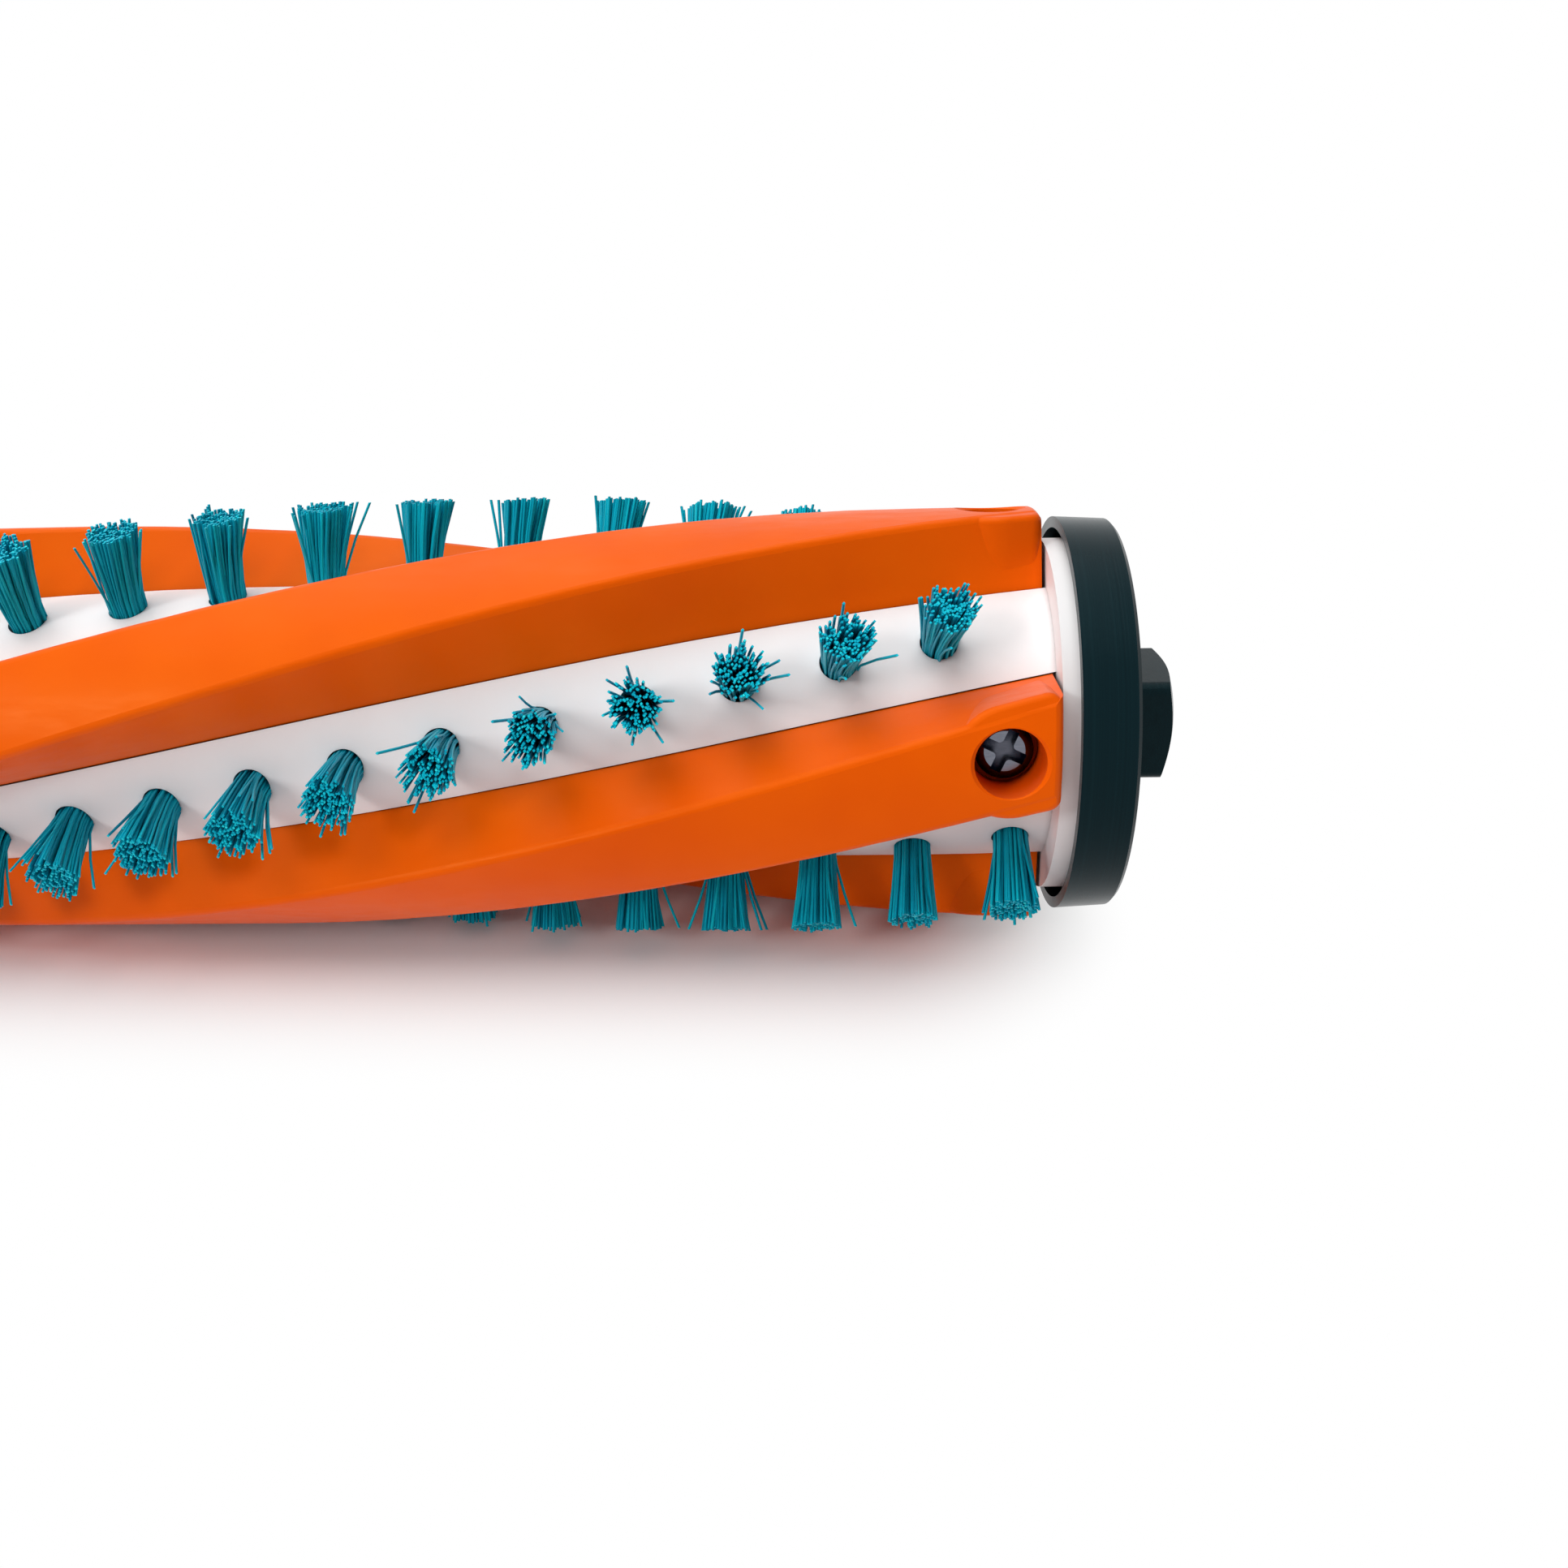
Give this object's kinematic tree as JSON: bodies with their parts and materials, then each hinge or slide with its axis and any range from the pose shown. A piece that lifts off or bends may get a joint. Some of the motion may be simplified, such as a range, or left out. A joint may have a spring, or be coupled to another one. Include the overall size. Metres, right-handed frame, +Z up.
{
  "type": "vacuum roller brush",
  "caption": "Round vacuum roller brush with helical orange beater strips and staggered rows of teal bristle tufts on a white core that spins between two square-nubbed end caps.",
  "frame": {"origin": "centre of the bounding box, on the roller's axis", "axes": "+X along the axis to the end cap in the picture, -Y to the viewer, +Z up"},
  "size_m": [0.27, 0.0506, 0.0506],
  "materials": {
    "core_white": "fine satin moulding",
    "strip_orange": "satin gloss with light scuffs",
    "bristle_teal": "soft nylon filaments",
    "anchor_wire": "drawn flat wire",
    "screw_steel": "bright zinc plate",
    "cap_dark": "fine turned-looking satin",
    "bush_bronze": "oil-filled sintered bronze",
    "washer_steel": "bright",
    "shaft_steel": "ground",
    "pulley_black": "moulded satin"
  },
  "bodies": {
    "right_cap": {"right_end_cap": "cap_dark", "right_bush": "bush_bronze"},
    "roller": {"core": "core_white", "shaft": "shaft_steel", "strip_screws": "screw_steel", "drive_pulley": "pulley_black", "right_thrust_washer": "washer_steel", "left_thrust_washer": "washer_steel", "beater_strip_1": "strip_orange", "bristle_row_1": "bristle_teal", "tuft_anchors_1": "anchor_wire", "beater_strip_2": "strip_orange", "bristle_row_2": "bristle_teal", "tuft_anchors_2": "anchor_wire", "beater_strip_3": "strip_orange", "bristle_row_3": "bristle_teal", "tuft_anchors_3": "anchor_wire", "beater_strip_4": "strip_orange", "bristle_row_4": "bristle_teal", "tuft_anchors_4": "anchor_wire"},
    "left_cap": {"left_end_cap": "cap_dark", "left_bush": "bush_bronze"}
  },
  "joints": [
    {"name": "roller_spin", "type": "hinge", "parent": "right_cap", "child": "roller", "pos_m": [0.1292, 0, 0], "axis": [1, 0, 0], "continuous": true},
    {"name": "left_cap_spin", "type": "hinge", "parent": "roller", "child": "left_cap", "pos_m": [-0.1292, 0, 0], "axis": [1, 0, 0], "continuous": true}
  ]
}
